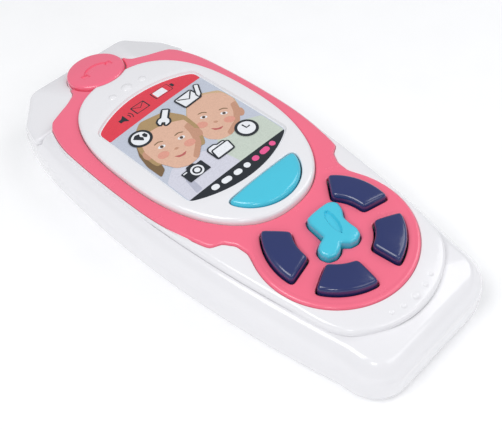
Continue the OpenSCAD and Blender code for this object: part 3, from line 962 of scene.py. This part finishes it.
def build_call_button():
    def handset_part(x):
        return softened([(x - 1.2, -2.4), (x + 1.2, -2.4), (x + 1.2, 0.2), (x - 1.2, 0.2)], 0.25, 0.3)
    bow = arc((0, -3.4), 5.7, 36, 144, 18) + arc((0, -3.4), 4.5, 144, 36, 18)
    marks = [handset_part(-4.5), handset_part(4.5), softened(bow, 0.3, 0.2)]
    pockets = [(moved(mark, *CALL), 0.45, 0.2) for mark in marks]
    verts, faces = moulded(circle(CALL, CALL_RADIUS, 110), domed(22.5, CALL, 0.004), level(15.6), 1.0,
                           pockets=pockets, spacing=0.9, steps=8)
    cap = make("call_cap", verts, faces, PINK, "call_button", "pink_plastic", 50)
    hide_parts("call_button")
    floor = prism(circle(CALL, CALL_RADIUS + GAP + 0.3, 64), 13.2, 14.2)
    make("call_well_floor", *floor, WHITE, "casing", "white_shell")


def key_center(angles, right):
    a = math.radians((angles[0] + angles[1]) / 2)
    return KEYPAD[0] + (-1 if right else 1) * 14.6 * math.cos(a), KEYPAD[1] + 14.6 * math.sin(a)


def build_domes():
    """Silicone domes that push the buttons back, one under each button."""
    spots = {
        "call_dome": (CALL, 11.0, "call_button_press"),
        "crescent_dome": ((1, -18.4), 13.9, "crescent_button_press"),
        "note_dome": ((-1, -40.7), 13.9, "note_button_press"),
        "dome_upper_left": (key_center(UPPER_KEY, False), 13.9, "key_upper_left_press"),
        "dome_lower_left": (key_center(LOWER_KEY, False), 13.9, "key_lower_left_press"),
        "dome_lower_right": (key_center(LOWER_KEY, True), 13.9, "key_lower_right_press"),
        "dome_upper_right": (key_center(UPPER_KEY, True), 13.9, "key_upper_right_press"),
    }
    profile = [(2.1, 0), (2.75, 0), (2.75, 0.35), (2.3, 0.9), (2.05, 1.8), (1.85, 2.5), (1.6, 2.95),
               (1.2, 3.2), (0.4, 3.24), (0.4, 2.5), (1.2, 2.3), (1.5, 1.4)]
    for name, (spot, base, joint) in spots.items():
        rings = [[(x, y, base + z) for x, y in circle(spot, r, 36)] for r, z in profile]
        n = 36
        verts = [p for ring in rings for p in ring]
        faces = []
        for k in range(len(rings)):
            faces += band(k * n, (k + 1) % len(rings) * n, n)
        dome = make(name + "_rubber", verts, faces, SILICONE, "casing", "silicone", 60)
        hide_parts(name)
        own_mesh(dome)


# ---------------------------------------------------------------- screen print
LABEL_DEPTH = 0.82
INK_STEP = 0.016


def label_z(x, y, layer):
    return bezel_top(x, y) - LABEL_DEPTH + INK_STEP * layer


def printed(name, loop, layer, material, holes=(), spacing=1.5):
    """Thin printed area that follows the label; higher layers lie on lower ones."""
    loops = [loop] + list(holes)
    extra = grid_points(loops, spacing)
    points, tris = surface(loops, len(holes), extra)
    n = len(points)
    verts = [(x, y, label_z(x, y, layer)) for x, y in points]
    verts += [(x, y, label_z(x, y, layer) - 0.05) for x, y in points]
    faces = list(tris) + [tuple(i + n for i in reversed(t)) for t in tris]
    start = 0
    for each in loops:
        m = len(each)
        faces += [(start + i, start + (i + 1) % m, start + (i + 1) % m + n, start + i + n) for i in range(m)]
        start += m
    return make(name, verts, faces, material, "casing", "label_print", 30)


INKS = {
    "red": printed_ink("ink_red", srgb(228, 58, 76)),
    "black": printed_ink("ink_black", srgb(27, 33, 41)),
    "white": printed_ink("ink_white", srgb(240, 242, 246)),
    "pink": printed_ink("ink_pink", srgb(240, 90, 150)),
    "sky": printed_ink("ink_sky", srgb(196, 202, 216)),
    "cloth": printed_ink("ink_cloth", srgb(214, 214, 226)),
    "cloth_shade": printed_ink("ink_cloth_shade", srgb(186, 188, 204)),
    "mint": printed_ink("ink_mint", srgb(202, 212, 200)),
    "skin": printed_ink("ink_skin", srgb(226, 182, 158)),
    "skin_shade": printed_ink("ink_skin_shade", srgb(200, 150, 124)),
    "cheek": printed_ink("ink_cheek", srgb(226, 158, 140)),
    "lips": printed_ink("ink_lips", srgb(190, 100, 96)),
    "hair": printed_ink("ink_hair", srgb(176, 146, 102)),
    "hair_shade": printed_ink("ink_hair_shade", srgb(124, 98, 66)),
    "down": printed_ink("ink_down", srgb(206, 176, 138)),
    "brown": printed_ink("ink_brown", srgb(84, 60, 46)),
}


def ellipse(cx, cy, rx, ry, turn=0.0, steps=40):
    return moved([(rx * x, ry * y) for x, y in circle((0, 0), 1, steps)], cx, cy, turn)


def ink(name, loop, layer, color, holes=(), spacing=1.5):
    return printed("print_" + name, loop, layer, INKS[color], holes, spacing)


def trimmed(loop, along_x, along_y, limit):
    """Part of a loop where along_x * x + along_y * y is at least limit."""
    out = []
    for a, b in zip(loop, loop[1:] + loop[:1]):
        da = along_x * a[0] + along_y * a[1] - limit
        db = along_x * b[0] + along_y * b[1] - limit
        if da >= 0:
            out.append(a)
        if (da >= 0) != (db >= 0):
            t = da / (da - db)
            out.append((a[0] + t * (b[0] - a[0]), a[1] + t * (b[1] - a[1])))
    return out


RED_EDGE = 30.2
BLACK_EDGE = -5.0
BAND_TILT = 0.05


def in_picture(loop):
    """Loop held inside the picture area between the two bands."""
    edges = ((1, 0, -18.0), (-1, 0, -18.0), (BAND_TILT, -1, -RED_EDGE), (0, 1, BLACK_EDGE))
    for along_x, along_y, limit in edges:
        loop = trimmed(loop, along_x, along_y, limit)
    return resampled(loop, 0.4)


def build_screen():
    base = printed("label_sheet", screen_outline(0.1), 0, INKS["white"], spacing=1.6)
    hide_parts("screen_label")
    whole = screen_outline(-0.2)
    ink("sky", whole, 1, "sky")
    ink("red_band", resampled(trimmed(whole, -BAND_TILT, 1, RED_EDGE), 0.6), 2, "red")
    ink("black_band", resampled(trimmed(whole, 0, -1, -BLACK_EDGE), 0.6), 2, "black")
    build_children()
    build_icons()


def head(name, cx, cy, turn, size, hair_color, layer, short_hair):
    """A calm generic child's head: eyes on the middle line, mouth a third up the lower half."""
    def place(loop):
        return in_picture(moved(loop, cx, cy, turn, size))
    skull = softened([(-0.62, 0.55), (-0.3, 0.93), (0.3, 0.93), (0.62, 0.55), (0.7, 0.05), (0.6, -0.45),
                      (0.3, -0.88), (0, -0.98), (-0.3, -0.88), (-0.6, -0.45), (-0.7, 0.05)], 0.03, 0.12)
    if short_hair:
        cap = moved(skull, 0, 0.02, 0, 1.03)
        ink(name + "_hair", place([(x, max(y, -0.1)) for x, y in cap]), layer, hair_color)
    else:
        cap = moved(skull, 0, 0.05, 0, 1.16)
        ink(name + "_hair", place([(x, max(y, -0.55)) for x, y in cap]), layer, hair_color)
    for side in (-1, 1):
        ear = moved([(0.1 * x, 0.17 * y) for x, y in circle((0, 0), 1, 20)], side * 0.7, -0.08)
        ink(f"{name}_ear_{side + 1}", place(ear), layer + 1, "skin_shade")
    top = 0.72 if short_hair else 0.5
    face = [(x, min(y, top + 0.18 * math.cos(x * 2.2))) for x, y in skull]
    ink(name + "_face", place(face), layer + 2, "skin")
    shade = [(x * 0.98 + 0.02, y) for x, y in skull if x > 0.25 and y < 0.4]
    shade += [(0.5, 0.3), (0.52, 0.0), (0.46, -0.4), (0.2, -0.78)]
    ink(name + "_shade", place(softened(shade, 0.03, 0.05)), layer + 3, "skin_shade")
    for side in (-1, 1):
        ink(f"{name}_cheek_{side + 1}", place(ellipse(side * 0.36, -0.3, 0.15, 0.12)), layer + 4, "cheek")
        ink(f"{name}_eye_{side + 1}", place(ellipse(side * 0.27, -0.02, 0.1, 0.055)), layer + 4, "white")
        ink(f"{name}_iris_{side + 1}", place(ellipse(side * 0.27, -0.02, 0.048, 0.05)), layer + 5, "brown")
        brow = [(-0.13, 0), (0, 0.045), (0.13, 0), (0.13, 0.03), (0, 0.08), (-0.13, 0.03)]
        ink(f"{name}_brow_{side + 1}", place(softened(moved(brow, side * 0.28, 0.12), 0.02, 0.02)), layer + 4,
            "hair_shade")
    nose = softened([(-0.07, -0.3), (0, -0.33), (0.07, -0.3), (0.04, -0.25), (-0.04, -0.25)], 0.015, 0.02)
    ink(name + "_nose", place(nose), layer + 4, "skin_shade")
    mouth = softened([(-0.17, -0.5), (0, -0.545), (0.17, -0.5), (0.08, -0.6), (-0.08, -0.6)], 0.02, 0.02)
    ink(name + "_mouth", place(mouth), layer + 4, "lips")


def build_children():
    """The picture on the screen: two small children side by side, drawn simply."""
    shirt = [(-18, -5), (-18, 4), (-14, 7), (-8, 7.5), (-3, 5.5), (0, 1), (1, -5)]
    ink("shirt_left", in_picture(softened(shirt, 0.5, 0.8)), 3, "cloth")
    fold = [(-15, -4.6), (-14, 1), (-11, 4.5), (-12.4, 0), (-12.8, -4.6)]
    ink("shirt_fold", in_picture(softened(fold, 0.4, 0.6)), 4, "cloth_shade")
    shirt = [(-1, -5), (0, 3), (4, 8), (11, 7.5), (18, 4), (18, -5)]
    ink("shirt_right", in_picture(softened(shirt, 0.5, 0.8)), 2, "mint")
    head("right_child", 8.9, 14.6, -32, 11.2, "down", 3, True)
    head("left_child", -6.8, 15.4, -14, 11.6, "hair", 9, False)
    tail = [(-16.5, 18), (-14.2, 22.5), (-13.6, 14), (-15, 8.5), (-17.5, 7), (-17.6, 13)]
    ink("hair_tail", in_picture(softened(tail, 0.4, 0.8)), 8, "hair_shade")


def outlined(name, loop, width, layer, fill="white", line="black"):
    """Icon shape with a dark outline."""
    ink(name + "_line", shifted(loop, -width), layer, line)
    ink(name + "_fill", loop, layer + 1, fill)


def stroke(points, width):
    """Outline of a line of the given width, with round ends."""
    pts = [Vector(p) for p in points]
    left, right = [], []
    for i, p in enumerate(pts):
        d = (pts[min(i + 1, len(pts) - 1)] - pts[max(i - 1, 0)]).normalized()
        side = Vector((-d.y, d.x)) * width / 2
        left.append(tuple(p + side))
        right.append(tuple(p - side))
    return softened(left + right[::-1], 0.15, 0.2)


def bar(cx, cy, length, height, turn=0.0):
    half = length / 2 - height / 2
    pts = arc((half, 0), height / 2, -90, 90, 8) + arc((-half, 0), height / 2, 90, 270, 8)
    return moved(pts, cx, cy, turn)


def build_icons():
    layer = 15
    rect = [(-3.1, -2.3), (3.1, -2.3), (3.1, 2.3), (-3.1, 2.3)]
    # Red band: sound, letter and charge.
    sound = [(-1.9, -0.7), (-0.8, -0.7), (0.5, -1.8), (0.5, 1.8), (-0.8, 0.7), (-1.9, 0.7)]
    ink("sound", moved(softened(sound, 0.15, 0.1), -9.3, 34.0), 3, "black")
    for r in (1.2, 2.1):
        ink(f"sound_wave_{r}", moved(stroke(arc((0, 0), r, -42, 42, 8), 0.3), -8.6, 34.0), 3, "black")
    ink("letter_line", resampled(moved(rect, -2.9, 34.6, 0, 0.82), 0.5), 3, "black",
        holes=[resampled(moved(rect, -2.9, 34.6, 0, 0.7), 0.5)])
    flap = stroke([(-2.8, 2.0), (0, -0.3), (2.8, 2.0)], 0.32)
    ink("letter_flap", moved(flap, -2.9, 34.6, 0, 0.82), 3, "black")
    cell = [(-3.4, -1.5), (2.4, -1.5), (2.4, 1.5), (-3.4, 1.5)]
    ink("charge_line", resampled(moved(cell, 6.6, 35.2, 0, 1.16), 0.5), 3, "black")
    ink("charge_red", resampled(moved(cell, 6.6, 35.2, 0, 1.06), 0.5), 4, "red")
    ink("charge_fill", resampled([(3.4, 33.8), (7.4, 33.8), (7.4, 36.6), (3.4, 36.6)], 0.5), 5, "white")
    ink("charge_tip", resampled([(9.7, 34.4), (10.7, 34.4), (10.7, 36), (9.7, 36)], 0.4), 3, "black")
    # Globe with two plain patches.
    globe = (-11.7, 23.4)
    ink("globe_ring", circle(globe, 3.6, 48), layer, "black")
    ink("globe_disc", circle(globe, 2.75, 48), layer + 1, "white")
    patch = [(-1.8, 1.2), (-0.4, 2.2), (0.9, 1.7), (0.3, 0.6), (0.9, -0.3), (0.2, -1.5), (-0.6, -0.4),
             (-1.1, 0.3)]
    ink("globe_patch", moved(softened(patch, 0.2, 0.25), *globe), layer + 2, "black")
    patch = [(1.2, 0.9), (2.2, 1.0), (2.4, -0.4), (1.5, -1.1), (1.0, -0.2)]
    ink("globe_patch_small", moved(softened(patch, 0.2, 0.2), *globe), layer + 2, "black")
    # Spanner.
    spanner = [(-0.9, -0.9), (-0.9, 3.0), (0.9, 3.0), (0.9, -0.9), (1.7, -1.7), (1.9, -2.9), (1.2, -4.0),
               (0.75, -4.2), (0.6, -2.9), (-0.6, -2.9), (-0.75, -4.2), (-1.2, -4.0), (-1.9, -2.9),
               (-1.7, -1.7)]
    outlined("spanner", moved(softened(spanner, 0.2, 0.18), -1.0, 25.3, -46, 0.92), 0.6, layer)
    # Letter with a pencil.
    outlined("big_letter", moved(softened(rect, 0.25, 0.25), 8.8, 26.0, 4, 0.98), 0.6, layer)
    ink("big_letter_flap", moved(stroke([(-2.8, 2.0), (0, -0.5), (2.8, 2.0)], 0.5), 9.0, 26.0, 4, 0.98),
        layer + 2, "black")
    pencil = [(-0.55, -2.3), (0, -3.3), (0.55, -2.3), (0.55, 2.4), (-0.55, 2.4)]
    outlined("pencil", moved(softened(pencil, 0.2, 0.08), 13.4, 27.0, -30), 0.45, layer + 3)
    # Clock.
    clock = (11.2, 3.2)
    ink("clock_ring", circle(clock, 3.5, 48), layer, "black")
    ink("clock_disc", circle(clock, 2.65, 48), layer + 1, "white")
    ink("clock_hands", moved(stroke([(-0.1, 1.9), (0, 0), (1.4, 0.1)], 0.5), *clock), layer + 2, "black")
    # Folder.
    folder = [(-3.0, -2.1), (2.6, -2.1), (3.2, 1.0), (-2.4, 1.0)]
    back = [(-3.0, -2.1), (2.4, -2.1), (2.4, 1.9), (0.2, 1.9), (-0.4, 2.6), (-2.4, 2.6), (-3.0, 1.9)]
    outlined("folder_back", moved(softened(back, 0.25, 0.12), 0.5, 2.4), 0.5, layer)
    outlined("folder", moved(softened(folder, 0.25, 0.12), 0.6, 2.4), 0.5, layer + 2)
    # Camera.
    camera = [(-3.7, -2.2), (3.7, -2.2), (3.7, 2.0), (1.8, 2.0), (1.2, 2.9), (-1.0, 2.9), (-1.5, 2.0),
              (-3.7, 2.0)]
    ink("camera", moved(softened(camera, 0.25, 0.25), -9.9, 1.5), layer, "black")
    for r, color, step in ((1.95, "white", 1), (1.4, "black", 2), (0.85, "white", 3)):
        ink(f"camera_lens_{step}", circle((-9.4, 1.4), r, 36), layer + step, color)
    ink("camera_flash", bar(-12.5, 2.9, 1.4, 0.4), layer + 1, "white")
    # Plain bars on the black band stand where the toy has words.
    for i, (x, length) in enumerate(((-10.2, 2.4), (-6.4, 3.2), (-2.4, 2.6), (1.0, 2.0))):
        ink(f"white_bar_{i}", bar(x, -7.4 + 0.006 * x * x, length, 1.9, 0.7 * x), 3, "white")
    for i, (x, length) in enumerate(((4.4, 2.2), (8.2, 3.4), (11.6, 1.9))):
        ink(f"pink_bar_{i}", bar(x, -7.4 + 0.006 * x * x, length, 1.9, 0.7 * x), 3, "pink")


# ---------------------------------------------------------------- CAD nodes that stay
def paint(node, material):
    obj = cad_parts[node]
    obj.data.materials.clear()
    obj.data.materials.append(material)


def paint_inside():
    for node in ("main_board", "call_board"):
        paint(node, BOARD)
    paint("chip_blob", EPOXY)
    paint("speaker_frame", STEEL)
    paint("speaker_cone", PAPER)
    paint("speaker_magnet", FERRITE)
    paint("battery_left", SLEEVE)
    paint("battery_right", SLEEVE)
    for node in ("contact_springs", "contact_plates", "door_screw", "case_screws", "board_screws"):
        paint(node, BRIGHT)
    paint("switch_body", DARK)
    paint("switch_slider", GREY)
    paint("battery_door", WHITE)
    paint("speaker_wires", RED_WIRE)
    paint("battery_wires", BLACK_WIRE)
    paint("call_wires", YELLOW_WIRE)


# ---------------------------------------------------------------- stage, light and camera
def build_stage():
    mat, tree, shader = new_material("pale_floor", (0.96, 0.96, 0.965), 0.6)
    coords = object_coords(tree)
    grain = noise(tree, coords, 60, 3, 0.5)
    shades = ramp(tree, grain, [(0.3, (0.955, 0.955, 0.96)), (0.7, (0.975, 0.975, 0.98))])
    tree.links.new(shades, shader.inputs["Base Color"])
    shader.inputs["Emission Color"].default_value = (1, 1, 1, 1)
    shader.inputs["Emission Strength"].default_value = 0.07
    mesh = bpy.data.meshes.new("floor")
    half = 1.6
    corners = [(-half, -half), (half, -half), (half, half), (-half, half)]
    mesh.from_pydata([(x, y, -0.0002) for x, y in corners], [], [(0, 1, 2, 3)])
    mesh.materials.append(mat)
    floor = bpy.data.objects.new("floor", mesh)
    bpy.context.scene.collection.objects.link(floor)


def area_light(name, place, target, size, power, color=(1, 1, 1)):
    light = bpy.data.lights.new(name, "AREA")
    light.shape = "RECTANGLE"
    light.size, light.size_y = size
    light.energy = power
    light.color = color
    obj = bpy.data.objects.new(name, light)
    obj.location = place
    obj.rotation_euler = (Vector(target) - Vector(place)).to_track_quat("-Z", "Y").to_euler()
    bpy.context.scene.collection.objects.link(obj)


def build_lights():
    world = bpy.data.worlds.new("studio")
    world.use_nodes = True
    back = world.node_tree.nodes["Background"]
    back.inputs["Color"].default_value = (0.95, 0.97, 1.0, 1)
    back.inputs["Strength"].default_value = 0.44
    bpy.context.scene.world = world
    bpy.context.scene.view_settings.view_transform = "Standard"
    area_light("key_softbox", (-0.35, 0.05, 0.6), (0, 0, 0), (0.35, 0.35), 1.95)
    area_light("right_softbox", (0.45, -0.15, 0.45), (0, 0, 0), (0.3, 0.4), 0.9)
    area_light("end_softbox", (0.1, -0.6, 0.45), (0, -0.04, 0), (0.5, 0.25), 0.7)
    area_light("front_glint", (-0.3, -0.3, 0.3), (0, 0, 0), (0.09, 0.09), 0.2)


def build_camera():
    """Camera that sees the phone from its keypad end's left, tilted a little."""
    azimuth, elevation, roll = math.radians(-39.65), math.radians(49.75), math.radians(-6.6)
    distance, focal, target = 0.1994, 723.3, Vector((-0.0049, -0.0137, 0.011))
    back = Vector((math.sin(azimuth) * math.cos(elevation), -math.cos(azimuth) * math.cos(elevation),
                   math.sin(elevation)))
    right = (-back).cross(Vector((0, 0, 1))).normalized()
    up = right.cross(-back)
    tilted_right = math.cos(roll) * right + math.sin(roll) * up
    tilted_up = -math.sin(roll) * right + math.cos(roll) * up
    data = bpy.data.cameras.new("camera")
    data.sensor_width = 36
    data.lens = focal * 36 / 502
    data.clip_start = 0.01
    data.clip_end = 10
    camera = bpy.data.objects.new("camera", data)
    turn = Matrix((tilted_right, tilted_up, back)).transposed().to_4x4()
    camera.matrix_world = Matrix.Translation(target + back * distance) @ turn
    bpy.context.scene.collection.objects.link(camera)
    bpy.context.scene.camera = camera


build_camera()
build_lights()
build_stage()
build_rear_cover()
build_front_cover()
build_deck()
build_pink_frame()
build_bezel()
build_keys()
build_crescent()
build_note()
build_call_button()
build_domes()
build_screen()
paint_inside()
